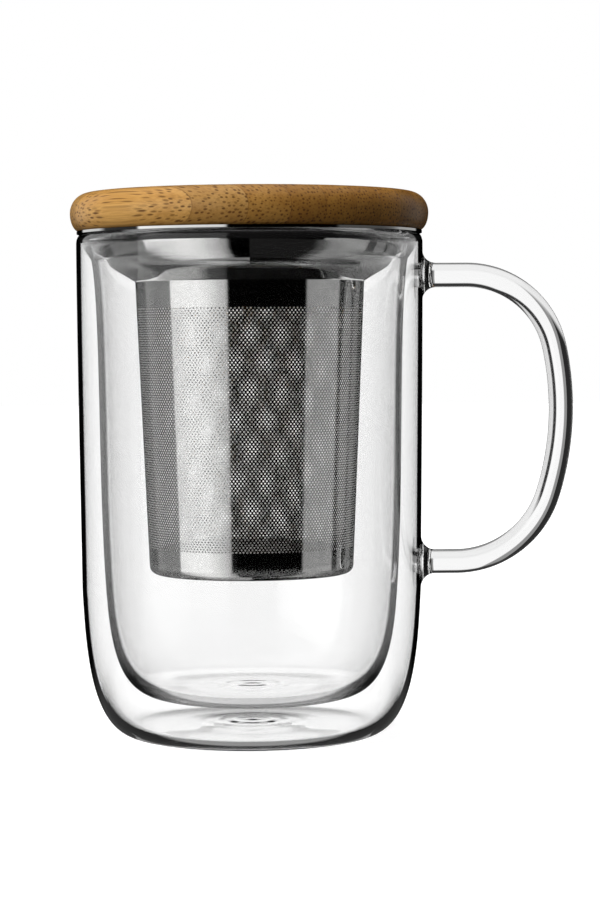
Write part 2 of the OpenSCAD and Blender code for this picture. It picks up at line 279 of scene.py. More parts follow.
def rear_half(brightness):
    """A plain ring that is lit behind the mug and dark in front of it."""
    return [(-100, 0.0), (-80, brightness), (80, brightness), (100, 0.0)]


print("the steel's ring has", len(STEEL_RING), "entries")

# %% [markdown]
# The world's nodes find the heading and elevation of a ray. Rings are stacked by
# elevation, and each stack is the surroundings of one kind of surface.

# %% Surroundings
BLEND = 3  # degrees either way over which one zone turns into the next
world = bpy.data.worlds.new("studio")
bpy.context.scene.world = world
world.use_nodes = True
sky = world.node_tree
sky.nodes.clear()
direction = node(sky, "ShaderNodeTexCoord")
split = node(sky, "ShaderNodeSeparateXYZ", direction.outputs["Generated"])
heading = math_node(sky, "ARCTAN2", split.outputs["X"], split.outputs["Y"])
heading = math_node(sky, "MULTIPLY_ADD", heading, 0.5 / math.pi, 0.5)
height = math_node(sky, "ARCSINE", split.outputs["Z"])
height = math_node(sky, "MULTIPLY", height, 180 / math.pi)


def around(stops):
    """Colour of one zone: a plain brightness, or a ramp of (degrees, brightness)."""
    if isinstance(stops, float):
        return (stops / BRIGHTEST,) * 3
    return ramp(sky, heading, [((a + 180) / 360, v / BRIGHTEST) for a, v in stops])


def surroundings(lowest, *zones):
    """Brightness from the ground up. Each zone after the lowest one gives the elevation
    in degrees at which it takes over."""
    level = around(lowest)
    for start, stops in zones:
        span = node(sky, "ShaderNodeMapRange", height, From_Min=start - BLEND,
                    From_Max=start + BLEND)
        level = mix_colour(sky, span.outputs[0], level, around(stops))
    return level


steel_sees = surroundings([(-3, 0.45), (3, 0.0)], (-60, STEEL_TABLE), (-13, STEEL_RING),
                          (32, 0.02), (48, 0.25))
inside_wall = surroundings(rear_half(0.3), (-45, 0.01), (-18, WALL_RING), (12, 0.02))
between_walls = surroundings(rear_half(0.65), (-40, 0.01), (3, rear_half(1.0)))
under_bowl = surroundings([(-115, 0.01), (-95, 1.0), (-8, 1.0), (-3, 0.01)],
                          (-35, rear_half(1.6)))
glass_mirrors = surroundings(0.12, (-13, GLASS_RING), (34, 0.1), (50, 1.0))
rod_bends = surroundings(0.3, (-45, 0.88), (-13, ROD_RING), (32, 0.03), (62, 0.6))
lights_up = surroundings(0.05, (-10, LIGHT_RING), (35, 0.3))
behind_walls = surroundings(0.55, (-45, 1.2), (40, 0.35))
print("the surroundings take", len(sky.nodes), "nodes")

# %% [markdown]
# Every time a ray enters or leaves glass, it counts as bent once. A ray that reaches the
# studio was bent twice if it came through the rod or a single wall, four times from
# between the walls, six times along the solid edge of the inner cup, and eight times
# through the whole mug, in and out. Its mirror images are counted too. The two counts
# tell which surface looks out, and so which surroundings it gets.

# %% Which ray sees which ring
BENT_BY_ROD, BENT_BY_EDGE, BENT_BY_MUG = 2, 6, 8
EDGE_DARK, OFTEN_DARK, HOLES_LIT = (0.01,) * 3, (0.002,) * 3, (1.0,) * 3
rays = node(sky, "ShaderNodeLightPath")
mirrored = rays.outputs["Glossy Depth"]
bent = rays.outputs["Transmission Depth"]


def more_than(count, limit):
    """1 where a whole count is above a limit, else 0."""
    return math_node(sky, "GREATER_THAN", count, limit + 0.5)


past_rod, through_mug = more_than(bent, BENT_BY_ROD), more_than(bent, BENT_BY_MUG - 1)
edge_only = math_node(sky, "COMPARE", bent, float(BENT_BY_EDGE), 0.5)
straight = mix_colour(sky, edge_only, behind_walls, EDGE_DARK)
straight = mix_colour(sky, past_rod, rod_bends, straight)
straight = mix_colour(sky, more_than(bent, 0), lights_up, straight)
once = mix_colour(sky, past_rod, inside_wall, between_walls)
once = mix_colour(sky, through_mug, once, steel_sees)
often = mix_colour(sky, through_mug, OFTEN_DARK, under_bowl)
level = mix_colour(sky, more_than(mirrored, 0), straight, once)
level = mix_colour(sky, more_than(mirrored, 1), level, often)
# Last event a reflection: a refracted ray also says that it is glossy
bounced = math_node(sky, "SUBTRACT", rays.outputs["Is Glossy Ray"],
                    rays.outputs["Is Transmission Ray"])
level = mix_colour(sky, more_than(bounced, 0), level, glass_mirrors)
# Light scattered by the matt side of the screen, on its way through both walls
scattered = math_node(sky, "MULTIPLY", more_than(rays.outputs["Diffuse Depth"], 0),
                      more_than(bent, BENT_BY_ROD + 1))
level = mix_colour(sky, scattered, level, HOLES_LIT)
panels = node(sky, "ShaderNodeBackground", level, Strength=BRIGHTEST)
plain = node(sky, "ShaderNodeBackground", Color=(1, 1, 1), Strength=1.0)
choose = node(sky, "ShaderNodeMixShader", rays.outputs["Is Camera Ray"],
              panels.outputs[0], plain.outputs[0])
node(sky, "ShaderNodeOutputWorld", choose.outputs[0])
world.cycles.sampling_method = "MANUAL"
world.cycles.sample_map_resolution = 1024
print("the studio has", len(sky.nodes), "nodes in all")

# %% [markdown]
# The lamps light what scatters light, the bamboo and the floor. Glass and steel don't
# see them, because the rings of panels are what they mirror.

# %% Lamps
MUG_MIDDLE = Vector((0, 0, 0.08))


def soft_lamp(name, size, watts, place):
    """A square soft lamp that faces the mug and shows in no mirror image."""
    light = bpy.data.lights.new(name, "AREA")
    light.size = size
    light.energy = watts
    lamp = add_object(name, light)
    lamp.location = place
    away = lamp.location - MUG_MIDDLE
    lamp.rotation_euler = away.to_track_quat("Z", "Y").to_euler()
    lamp.visible_camera = lamp.visible_glossy = lamp.visible_transmission = False


soft_lamp("overhead lamp", size=1.2, watts=11, place=(-0.3, -0.1, 1.3))
soft_lamp("left lamp", size=0.8, watts=6, place=(-1.0, -0.9, 0.5))
print("lamps:", [light.name for light in bpy.data.lights])

# %% [markdown]
# The camera stands in front of the mug, below its rim, and looks down a little. A long
# lens from this distance keeps the sides upright. Its focal length is worked out in
# pixels, because that makes an angle out of any distance on the picture.

# %% Camera
DISTANCE, EYE_HEIGHT = 0.640, 0.0992  # metres from the axis and above the table
IMAGE_HEIGHT = 900  # pixels
MM_PER_PIXEL = 0.248  # at the mug's axis
AIM_BELOW, AIM_RIGHT = 116, 49.1  # pixels from level and from the mug's axis
ROLL = math.radians(-0.35)
FOCAL_PIXELS = DISTANCE / MM / MM_PER_PIXEL
camera_data = bpy.data.cameras.new("camera")
camera_data.sensor_width = 36
camera_data.lens = 36 * FOCAL_PIXELS / IMAGE_HEIGHT
camera_data.clip_start = 0.01
camera = add_object("camera", camera_data)
camera.location = (0, -DISTANCE, EYE_HEIGHT)
down, right = math.atan(AIM_BELOW / FOCAL_PIXELS), math.atan(AIM_RIGHT / FOCAL_PIXELS)
turn = Euler((math.pi / 2 - down, 0, -right)).to_matrix()
camera.rotation_euler = (turn @ Matrix.Rotation(ROLL, 3, "Z")).to_euler()
bpy.context.scene.camera = camera
bpy.context.scene.view_settings.view_transform = "Standard"
print("lens", round(camera_data.lens, 1), "mm")

# %% [markdown]
# ## Floor
# A pale table top. Most of its brightness is its own, so it joins the white background
# without an edge, and the rest is scattered light that the mug shades.

# %% Floor
FLOOR_R, FLOOR_Z = 3000, -0.05  # just under the mug's foot, so they don't fight
floor_material, tree = new_material("pale table")[:2]
tree.nodes.clear()
place = node(tree, "ShaderNodeTexCoord").outputs["Object"]
distance = node(tree, "ShaderNodeVectorMath", place, operation="LENGTH")
# The floor's glow is painted light. It is weaker near the mug, 0.8 up to a tenth of a metre out
# and full at half a metre, which paints the floor darker around the mug where its shadow falls.
glow = node(tree, "ShaderNodeEmission",
            ramp(tree, distance.outputs["Value"], [(0.1, 0.8), (0.5, 1.0)]), Strength=1.0)
scatter = node(tree, "ShaderNodeBsdfDiffuse", Color=(0.6, 0.6, 0.6))
both = node(tree, "ShaderNodeAddShader", glow.outputs[0], scatter.outputs[0])
node(tree, "ShaderNodeOutputMaterial", both.outputs[0])
floor_points, floor_quads, floor_fan = revolve(
    [[FLOOR_R, FLOOR_Z], [200, FLOOR_Z], [0, FLOOR_Z]], 96)
floor_mesh = bpy.data.meshes.new("floor")
floor_mesh.from_pydata(floor_points * MM, [], floor_quads.tolist() + floor_fan.tolist())
floor_mesh.materials.append(floor_material)
floor = add_object("floor", floor_mesh)
floor.visible_glossy = floor.visible_transmission = floor.visible_diffuse = False
print("the floor has", len(floor_mesh.polygons), "faces")

# %% [markdown]
# ## Glass
# The real mug is two blown cups fused at the lip, with a rod melted onto the outside.
# Light must meet each surface of the glass once, so all the glass is one piece here: an
# outer skin that runs over the lip and down inside the cup, and a second closed skin
# around the air gap. Overlapping solids would bend the light twice at every joint.

# %% Glass profiles
NECK_R, WAIST_R, FOOT_R, WAIST_Z = 42.75, 42.0, 28.2, 36
OUTER_WALL, OUTER_FLOOR = 1.4, 2.5
INNER_WALL, INNER_FLOOR = 1.5, 2.0
NECK_GAP, WAIST_GAP, FOOT_GAP = 2.3, 4.5, 6.3  # air between the walls
GAP_NECK_R, GAP_WAIST_R = NECK_R - OUTER_WALL, WAIST_R - OUTER_WALL
CUP_NECK_R, CUP_WAIST_R = GAP_NECK_R - NECK_GAP, GAP_WAIST_R - WAIST_GAP
CUP_FOOT_Z, CUP_FOOT_R = OUTER_FLOOR + FOOT_GAP, 14.25
LIP_TOP_Z, LIP_ROUND, LIP_FLARE, NECK_DROP = 124, 2.5, 1.8, 3.9
LIP_Z = LIP_TOP_Z - LIP_ROUND
NECK_Z = LIP_Z - NECK_DROP
LIP_R = CUP_NECK_R - INNER_WALL + LIP_FLARE
LIP_FLAT_START, LIP_FLAT_END = 1, 2  # flat top of the lip, out from LIP_R
# Blowing draws the glass out thin at the lower corner, and a little at both floors
FLOOR_THINNED, CUP_FLOOR_THINNED, GAP_FOOT_IN = 0.7, 0.2, 0.8
BELLY, GAP_BELLY = 0.63, 0.645  # height of the corner's upper control point, of WAIST_Z


def blown_side(foot_r, foot_z, waist_r, neck_r, belly):
    """Floor, full corner and wall of the outer cup, from the axis up to the lip.

    Bezier curves end to end: a floor with its middle pushed up, the flat ring that it
    stands on, a corner that meets the wall upright, and a nearly straight wall.
    """
    ring_r, kick = FOOT_R - 9, 0.6
    rise = LIP_Z - WAIST_Z
    return chain(
        bezier([0, foot_z + kick], [ring_r * 0.4, foot_z + kick],
               [ring_r * 0.7, foot_z], [ring_r, foot_z], 28),
        bezier([ring_r, foot_z], [ring_r + 3, foot_z], [foot_r - 3, foot_z],
               [foot_r, foot_z], 4),
        bezier([foot_r, foot_z], [foot_r + 0.89 * (waist_r - foot_r), foot_z],
               [waist_r - 0.02 * WAIST_Z, belly * WAIST_Z], [waist_r, WAIST_Z], 40),
        bezier([waist_r, WAIST_Z], [waist_r + 0.3, WAIST_Z + rise / 3],
               [neck_r, LIP_Z - rise / 4], [neck_r, LIP_Z], 64))


def cup_side(foot, waist, neck, lip):
    """Floor, corner and wall of the inner cup, from the axis up to the lip."""
    foot, waist, neck, lip = (np.array(p, float) for p in (foot, waist, neck, lip))
    rise = neck[1] - waist[1]
    return chain(
        np.linspace([0, foot[1]], foot, 25),
        bezier(foot, [foot[0] + 0.6 * (waist[0] - foot[0]), foot[1]],
               [waist[0] - 1.6, foot[1]], waist, 40),
        bezier(waist, waist + [1.9, rise / 3], neck - [2.3, rise / 6], neck, 30),
        bezier(neck, neck + [0.35, 0.6], lip - [0.2, 1.2], lip, 8))


def rippled(profile, height, pitch, reach):
    """The profile with rings blown into its floor: height cos(2 pi r / pitch), fading
    out towards the radius reach as (1 - (r / reach)^2)^2."""
    r = profile[:, 0]
    fade = np.clip(1 - (r / reach)**2, 0, 1)**2 * (profile[:, 1] < WAIST_Z / 2)
    return profile + np.stack([0 * r, height * fade * np.cos(2 * np.pi * r / pitch)], 1)


outer_side = blown_side(FOOT_R, 0, WAIST_R, NECK_R, BELLY)
gap_outside = rippled(
    blown_side(FOOT_R - GAP_FOOT_IN, OUTER_FLOOR - FLOOR_THINNED, GAP_WAIST_R, GAP_NECK_R,
               GAP_BELLY), height=0.06, pitch=4.8, reach=19)
gap_inside = rippled(
    cup_side([CUP_FOOT_R, CUP_FOOT_Z], [CUP_WAIST_R, WAIST_Z], [CUP_NECK_R, NECK_Z],
             [GAP_NECK_R, LIP_Z]), height=0.05, pitch=5.2, reach=15)
cup_floor_z = CUP_FOOT_Z + INNER_FLOOR - CUP_FLOOR_THINNED
cup_inside = rippled(
    cup_side([CUP_FOOT_R - INNER_WALL, cup_floor_z], [CUP_WAIST_R - INNER_WALL, WAIST_Z],
             [CUP_NECK_R - INNER_WALL, NECK_Z], [LIP_R, LIP_Z]),
    height=0.06, pitch=4.4, reach=14)
shoulder = quarter([LIP_R + LIP_FLAT_END, LIP_Z],
                   [NECK_R - LIP_R - LIP_FLAT_END, LIP_ROUND], 0, 90, 10)
mouth = quarter([LIP_R + LIP_FLAT_START, LIP_Z], [LIP_FLAT_START, LIP_ROUND], 90, 180, 10)
print("the cup is", round(float(cup_inside[:, 0].max()) * 2, 1), "mm wide inside")

# %% [markdown]
# The rod runs into the wall through a flare, as melted glass does. The outer skin leaves
# out a square of its grid around each arm, and rings lead from the edge of that square
# over the wall, up the flare and onto the rod, so skin and handle are one surface.

# %% Outer skin
ROD_R = 3.0
ARM_TOP_Z, ARM_FOOT_Z = 113.6, 42.5
COLUMNS = 192  # columns of the skin
HALF = 6  # columns and rows that a joint takes on each side of its arm
TOP_REACH, FOOT_REACH = 7.6, 8.4  # half the height of each joint's square
CORNER_TOP_Z = 24  # up to here the skin has the rows of its profile
LOW_ROWS, SIDE_ROWS = 7, 22  # rows below and between the squares


def joint_heights(centre, reach):
    """Heights of the rows of the square that a joint takes."""
    return centre + np.linspace(-reach, reach, 2 * HALF + 1)


corner_end = int(np.argmax(outer_side[:, 1] > CORNER_TOP_Z))
top_heights = joint_heights(ARM_TOP_Z, TOP_REACH)
foot_heights = joint_heights(ARM_FOOT_Z, FOOT_REACH)
heights = np.concatenate([
    np.linspace(outer_side[corner_end, 1], foot_heights[0], LOW_ROWS + 1)[:-1], foot_heights,
    np.linspace(foot_heights[-1], top_heights[0], SIDE_ROWS + 2)[1:-1], top_heights,
    [LIP_Z]])


def wall_r(z):
    """Radius of the outer wall at a height, read off its profile."""
    return np.interp(z, outer_side[corner_end - 1:, 1], outer_side[corner_end - 1:, 0])


skin = chain(outer_side[:corner_end], np.stack([wall_r(heights), heights], 1), shoulder,
             mouth, cup_inside[::-1])
points, quads, fans = revolve(skin, COLUMNS)
foot_row = corner_end - 1 + LOW_ROWS  # the pole at the foot isn't in the grid
top_row = foot_row + 2 * HALF + 1 + SIDE_ROWS


def outside_square(quads, low_row):
    """The quads that lie outside the square of the grid above low_row and around +X."""
    row, column = quads[:, 0] // COLUMNS, quads[:, 0] % COLUMNS
    near = (column < HALF) | (column >= COLUMNS - HALF)
    return quads[~(near & (row >= low_row) & (row < low_row + 2 * HALF))]


def square_edge(low_row):
    """Numbers of the points around that square, anticlockwise seen from outside, from
    its lower left corner."""
    n = 2 * HALF
    step = np.arange(n)
    rows = np.concatenate([np.zeros(n, int), step, np.full(n, n), n - step])
    columns = np.concatenate([step - HALF, np.full(n, HALF), HALF - step,
                              np.full(n, -HALF)])
    return (low_row + rows) * COLUMNS + columns % COLUMNS


quads = outside_square(outside_square(quads, foot_row), top_row)
top_edge, foot_edge = square_edge(top_row), square_edge(foot_row)
print("a joint is stitched in with", len(top_edge), "points around it")

# %% [markdown]
# The rod was bent hot into three arcs that run into each other: tight ones at both arms
# and a long, nearly straight one at the side. Its rings are numbered from the upper
# square down to the lower one, and neighbours are joined all the way.

# %% Handle
HANDLE_DEPTH = 37.35  # from the neck out to the far side of the rod
TOP_BEND_R, TOP_BEND = 22.3, math.radians(77.6)
FOOT_BEND_R, FOOT_BEND = 24.0, math.radians(72.6)
WELD_LENGTH, TOP_FLARE, FOOT_FLARE = 3.4, 3.2, 3.7
SIDE_R = ((ARM_TOP_Z - ARM_FOOT_Z - TOP_BEND_R * (1 - math.cos(TOP_BEND))
           - FOOT_BEND_R * (1 - math.cos(FOOT_BEND)))
          / (math.cos(TOP_BEND) + math.cos(FOOT_BEND)))
SIDE_X = NECK_R + HANDLE_DEPTH - ROD_R - SIDE_R
TOP_X = SIDE_X + (SIDE_R - TOP_BEND_R) * math.sin(TOP_BEND)
FOOT_X = SIDE_X + (SIDE_R - FOOT_BEND_R) * math.sin(FOOT_BEND)
SIDE_Z = ARM_TOP_Z - TOP_BEND_R - (SIDE_R - TOP_BEND_R) * math.cos(TOP_BEND)
AROUND = np.radians(-135 + np.arange(len(top_edge)) * 360 / len(top_edge))


def joint_rings(edge, arm_z, flare):
    """Rings from the square's edge to the rod: over the wall, then up the flare.

    At turn b around the arm, a ring's point lies d from the arm's axis and h out from
    the wall. d falls evenly to the flare's edge while b evens out. Over the flare
    d = rod + flare (1 - sin s) and h = length (1 - cos s), s from 0 to 90 degrees.
    """
    across, up = points[edge, 1], points[edge, 2] - arm_z
    far, turn = np.hypot(across, up), np.unwrap(np.arctan2(up, across))
    turn += 2 * np.pi * np.round((AROUND - turn).mean() / (2 * np.pi))
    t = np.linspace(0, 1, 6)[1:, None]
    s = np.radians(np.linspace(0, 90, 11))[1:, None]
    d = np.vstack([far + t * (ROD_R + flare - far),
                   ROD_R + flare * (1 - np.sin(s)) + 0 * far])
    h = np.vstack([0 * t + 0 * far, WELD_LENGTH * (1 - np.cos(s)) + 0 * far])
    b = np.vstack([turn + t * (AROUND - turn), AROUND + 0 * s])
    y, z = d * np.cos(b), arm_z + d * np.sin(b)
    return np.stack([np.sqrt(wall_r(z)**2 - y**2) + h, y, z], -1)


def bend_rings(x, z, radius, start, end, steps):
    """Rings of the rod around a bend: centre + (radius + rod sin b) out, and rod cos b
    to the side, where the direction out turns from start to end."""
    out = np.linspace(start, end, steps + 1)[:, None]
    reach = radius + ROD_R * np.sin(AROUND)
    return np.stack([x + reach * np.cos(out), ROD_R * np.cos(AROUND) + 0 * out,
                     z + reach * np.sin(out)], -1)


up = math.pi / 2
# The lower square is met from the rod, so its points are taken the other way round
flip = (3 * 2 * HALF - np.arange(len(top_edge))) % len(top_edge)
tube = np.concatenate([
    joint_rings(top_edge, ARM_TOP_Z, TOP_FLARE),
    bend_rings(TOP_X, ARM_TOP_Z - TOP_BEND_R, TOP_BEND_R, up, up - TOP_BEND, 30),
    bend_rings(SIDE_X, SIDE_Z, SIDE_R, up - TOP_BEND, FOOT_BEND - up, 26)[1:],
    bend_rings(FOOT_X, ARM_FOOT_Z + FOOT_BEND_R, FOOT_BEND_R, FOOT_BEND - up, -up, 30)[1:],
    joint_rings(foot_edge, ARM_FOOT_Z, FOOT_FLARE)[::-1, flip]])
numbers = np.vstack([top_edge[None],
                     len(points) + np.arange(tube[..., 0].size).reshape(len(tube), -1),
                     foot_edge[flip][None]])
points = np.vstack([points, tube.reshape(-1, 3)])
here, there = numbers[:-1], numbers[1:]
quads = np.vstack([quads, np.stack([here, np.roll(here, -1, 1), np.roll(there, -1, 1),
                                    there], -1).reshape(-1, 4)])
print("the handle reaches x =", round(float(points[:, 0].max()), 2), "mm")

# %% [markdown]
# Melting the rod on softens the wall behind it, which sinks in a little. The dimple is
# on the hidden side, and shows as a small lens behind each arm.

# %% Air gap
gap_points, gap_quads, gap_fans = revolve(chain(gap_inside, gap_outside[::-1]), COLUMNS)


def sink(points, arm_z, depth, reach):
    """Moves the wall behind an arm inwards by depth exp(-(d / reach)^2), where d is the
    distance from the arm's axis."""
    d = np.hypot(points[:, 1], points[:, 2] - arm_z)
    behind = (points[:, 0] > 0) & (np.hypot(points[:, 0], points[:, 1]) > GAP_WAIST_R - 1)
    points[:, 0] -= behind * depth * np.exp(-(d / reach)**2)


sink(gap_points, ARM_TOP_Z - 0.4, depth=0.5, reach=3.7)
sink(gap_points, ARM_FOOT_Z - 0.2, depth=0.6, reach=4.0)
first = len(points)
glass_points = np.vstack([points, gap_points])
glass_quads = np.vstack([quads, gap_quads + first])
glass_fans = np.vstack([fans, gap_fans + first])
print("the air gap's skin has", len(gap_points), "points")

# %% [markdown]
# Borosilicate glass is clear and perfectly smooth. It bends light a little less than
# window glass does.

# %% Clear glass
glass, _, shader = new_material("clear glass")
give(shader, Base_Color=(1, 1, 1), Metallic=0, Roughness=0, IOR=1.47,
     Transmission_Weight=1)
make_object("glass_mug", glass_points, glass_quads, glass_fans, glass, "mug",
            ["outer_glass", "inner_glass", "handle"], "glass", crease=75)

# %% [markdown]
# ## Steel
# Bright stainless sheet mirrors its surroundings, a little blurred by the fine marks of
# rolling and pressing. One node group gives those marks to each steel part: a slow
# mottle and fine scratches that change how sharp the mirror is.

# %% Finish helpers
def finish_group(name, *numbers):
    """An empty node group that takes numbers and gives a colour, roughness and normal.

    Returned with its input node, its output node and the object's coordinates.
    """
    group = bpy.data.node_groups.new(name, "ShaderNodeTree")
    for label in numbers:
        group.interface.new_socket(label, in_out="INPUT", socket_type="NodeSocketFloat")
    for label, kind in (("Color", "NodeSocketColor"), ("Roughness", "NodeSocketFloat"),
                        ("Normal", "NodeSocketVector")):
        group.interface.new_socket(label, in_out="OUTPUT", socket_type=kind)
    return (group, node(group, "NodeGroupInput"), node(group, "NodeGroupOutput"),
            node(group, "ShaderNodeTexCoord").outputs["Object"])


def finished_material(name, group, label, value, **numbers):
    """A material whose surface comes from a finish group, with the group's numbers and
    one plain value of its own on the shader."""
    material, tree, shader = new_material(name)
    feed(shader.inputs[label], value)
    finish = node(tree, "ShaderNodeGroup", node_tree=group, **numbers).outputs
    give(shader, Base_Color=finish["Color"], Roughness=finish["Roughness"],
         Normal=finish["Normal"])
    return material


def noise(tree, vector, scale, detail=3.0, roughness=0.5):
    """Noise texture value at a vector."""
    return node(tree, "ShaderNodeTexNoise", vector, Scale=scale, Detail=detail,
                Roughness=roughness).outputs[0]


def stretched(tree, vector, scale):
    """A vector scaled along each axis. A small scale draws a pattern out."""
    return node(tree, "ShaderNodeMapping", vector, Scale=scale).outputs[0]


# %% Steel finish
wear, given, result, place = finish_group("rolled sheet", "Sharpness", "Grain")
mottle = noise(wear, place, 120)
fine = noise(wear, stretched(wear, place, (1, 1, 14)), 350, 4)
rough = math_node(wear, "MULTIPLY_ADD", mottle, 0.025, given.outputs["Sharpness"])
rough = math_node(wear, "MULTIPLY_ADD", fine, 0.02, rough)
steel_grey = ramp(wear, mottle, [(0.3, (0.58, 0.58, 0.575)), (0.7, (0.66, 0.66, 0.65))])
bump = node(wear, "ShaderNodeBump", Strength=given.outputs["Grain"], Distance=0.00002,
            Height=fine)
give(result, Color=steel_grey, Roughness=rough, Normal=bump.outputs[0])
pressed_steel = finished_material("pressed steel", wear, "Metallic", 1,
                                  Sharpness=0.015, Grain=0.1)
print("the steel finish has", len(wear.nodes), "nodes")

# %% [markdown]
# ## Collar and base of the infuser
# Both are pressed from sheet, so each is a thin profile turned about the axis. The
# collar lies flat on the glass, bends down into a bowl and ends in a short sleeve.

# %% Collar
STEEL = 0.6  # thickness of the pressed sheet
PLATE_R, BOWL_R, BOWL_FOOT_Z = 42.6, 37.1, 112.2
BASKET_TOP_R, BASKET_FOOT_R = 28.3, 25.3
SCREEN_FOOT_Z, BASE_ROUND = 42.2, 2.0
SCREEN_SHEET, SLEEVE, PLAY = 0.4, 4.0, 0.1
RIM_BEND = 1.8


def basket_r(z):
    """Outside radius of the basket at a height: a cone from foot to top."""
    share = (z - SCREEN_FOOT_Z) / (BOWL_FOOT_Z - SCREEN_FOOT_Z)
    return BASKET_FOOT_R + (BASKET_TOP_R - BASKET_FOOT_R) * share


def beside(path, distance):
    """A path moved sideways to its left by a distance along its normals."""
    along = np.gradient(path, axis=0)
    along /= np.linalg.norm(along, axis=1)[:, None]
    return path + distance * np.stack([-along[:, 1], along[:, 0]], 1)


bend_z = LIP_TOP_Z - RIM_BEND
across, fall = BOWL_R - BASKET_TOP_R, bend_z - BOWL_FOOT_Z
under = chain(
    np.linspace([PLATE_R, LIP_TOP_Z], [BOWL_R + RIM_BEND, LIP_TOP_Z], 5),
    quarter([BOWL_R + RIM_BEND, bend_z], [RIM_BEND, RIM_BEND], 90, 180, 12),
    bezier([BOWL_R, bend_z], [BOWL_R - 0.24 * across, bend_z - 0.76 * fall],
           [BASKET_TOP_R + 0.7 * across, BOWL_FOOT_Z + 0.41 * fall],
           [BASKET_TOP_R, BOWL_FOOT_Z], 36))
over = beside(under, -STEEL)
wall_in = SCREEN_SHEET + PLAY  # how far inside the basket a sleeve's wall lies
sleeve_r = basket_r(BOWL_FOOT_Z) - wall_in
sleeve_foot_r = basket_r(BOWL_FOOT_Z - SLEEVE) - wall_in
sleeve = np.array([[sleeve_r, BOWL_FOOT_Z], [sleeve_foot_r, BOWL_FOOT_Z - SLEEVE],
                   [sleeve_foot_r - STEEL, BOWL_FOOT_Z - SLEEVE]])
collar = np.vstack([under, sleeve, over[::-1]])[::-1]
make_object("infuser_rim", *revolve(collar, 192), pressed_steel, "infuser",
            ["infuser_collar"], "steel", crease=35)

# %% Base
edge_r = BASKET_FOOT_R - BASE_ROUND
base_foot_z = SCREEN_FOOT_Z - BASE_ROUND
base_wall_r = basket_r(SCREEN_FOOT_Z) - wall_in
base_top_r = basket_r(SCREEN_FOOT_Z + SLEEVE) - wall_in
base = chain(
    np.linspace([0, base_foot_z], [edge_r, base_foot_z], 8),
    quarter([edge_r, SCREEN_FOOT_Z], [BASE_ROUND, BASE_ROUND], -90, 0, 10),
    [[base_wall_r, SCREEN_FOOT_Z]], [[base_top_r, SCREEN_FOOT_Z + SLEEVE]],
    [[base_top_r - STEEL, SCREEN_FOOT_Z + SLEEVE]],
    quarter([edge_r - STEEL, SCREEN_FOOT_Z],
            [base_wall_r - edge_r, BASE_ROUND - STEEL], 0, -90, 10),
    [[0, base_foot_z + STEEL]])
make_object("infuser_foot", *revolve(base, 160), pressed_steel, "infuser",
            ["infuser_base"], "steel", crease=35)

# %% [markdown]
# ## Screen
# Thousands of small holes in staggered rows. Each hole gets a brick of sheet around it,
# and the bricks are laid like a wall: every second row starts half a brick further on.
# The points on the lines between rows lie half a brick apart, so bricks above and below
# share them. Seven sectors keep each mesh at a size that other programs open easily.

# %% Screen
SECTORS, BRICKS, ROWS = 7, 27, 100
HOLES_FOOT_Z, HOLES_TOP_Z = 46.9, 105.8
HOLE_R = 0.245
UNEVEN = 0.1  # how far the holes at the back stray sideways
uneven = np.random.default_rng(7)
SHEET = 0.2  # thickness of the pierced sheet
half_turn = math.pi / (SECTORS * BRICKS)  # angle of half a brick
pitch_z = (HOLES_TOP_Z - HOLES_FOOT_Z) / ROWS
LINE = 2 * BRICKS + 2  # points on one line between rows


def screen_sector(start):
    """One sector of pierced sheet, in sheet coordinates (turns of half a brick, height).

    A hole's six points are c + HOLE_R (cos a, sin a), a = 30, 90 ... 330 degrees, and
    six faces join them to the six points of its brick. The sheet's inner side is the
    outer one moved in, and edges that only one face uses are closed with a wall.
    """
    column = np.arange(LINE)
    bands = np.array([SCREEN_FOOT_Z, BOWL_FOOT_Z])
    line_z = np.concatenate([HOLES_FOOT_Z + pitch_z * np.arange(ROWS + 1), bands])
    u, z = (g.ravel() for g in np.meshgrid(column, line_z))
    row, brick = (g.ravel() for g in np.meshgrid(np.arange(ROWS), np.arange(BRICKS),
                                                 indexing="ij"))
    left = 2 * brick + row % 2
    low, high = row * LINE + left, (row + 1) * LINE + left
    edge = np.stack([high + 2, high + 1, high, low, low + 1, low + 2], 1)
    turn = np.radians(30 + 60 * np.arange(6))
    middle_u, middle_z = left + 1.0, HOLES_FOOT_Z + pitch_z * (row + 0.5)
    brick_u = 1 / (basket_r(middle_z) * half_turn)
    behind = np.sin((start + middle_u) * half_turn) > 0
    middle_u = middle_u + behind * uneven.uniform(-UNEVEN, UNEVEN, len(row)) * brick_u
    hole_u = middle_u[:, None] + HOLE_R * np.cos(turn) * brick_u[:, None]
    hole_z = middle_z[:, None] + HOLE_R * np.sin(turn)
    hole = len(u) + np.arange(hole_u.size).reshape(-1, 6)
    u, z = np.concatenate([u, hole_u.ravel()]), np.concatenate([z, hole_z.ravel()])
    faces = np.stack([edge, np.roll(edge, -1, 1), np.roll(hole, -1, 1), hole], -1)
    c = np.arange(2 * BRICKS)
    top = ROWS * LINE + c + (ROWS - 1) % 2
    foot_band, top_band = (ROWS + 1) * LINE + c, (ROWS + 2) * LINE + c + (ROWS - 1) % 2
    faces = np.vstack([faces.reshape(-1, 4),
                       np.stack([foot_band, foot_band + 1, c + 1, c], 1),
                       np.stack([top, top + 1, top_band + 1, top_band], 1)])
    used, faces = np.unique(faces, return_inverse=True)
    u, z, faces = u[used], z[used], faces.reshape(-1, 4)
    angle = (start + u) * half_turn
    outer, inner = (np.stack([r * np.cos(angle), r * np.sin(angle), z], 1)
                    for r in (basket_r(z), basket_r(z) - SHEET))
    edges = np.stack([faces, np.roll(faces, -1, 1)], -1).reshape(-1, 2)
    _, which, uses = np.unique(np.sort(edges, 1), axis=0, return_inverse=True,
                               return_counts=True)
    rim = edges[uses[which.ravel()] == 1]
    count = len(outer)
    walls = np.stack([rim[:, 1], rim[:, 0], rim[:, 0] + count, rim[:, 1] + count], 1)
    return np.vstack([outer, inner]), np.vstack([faces, faces[:, ::-1] + count, walls])


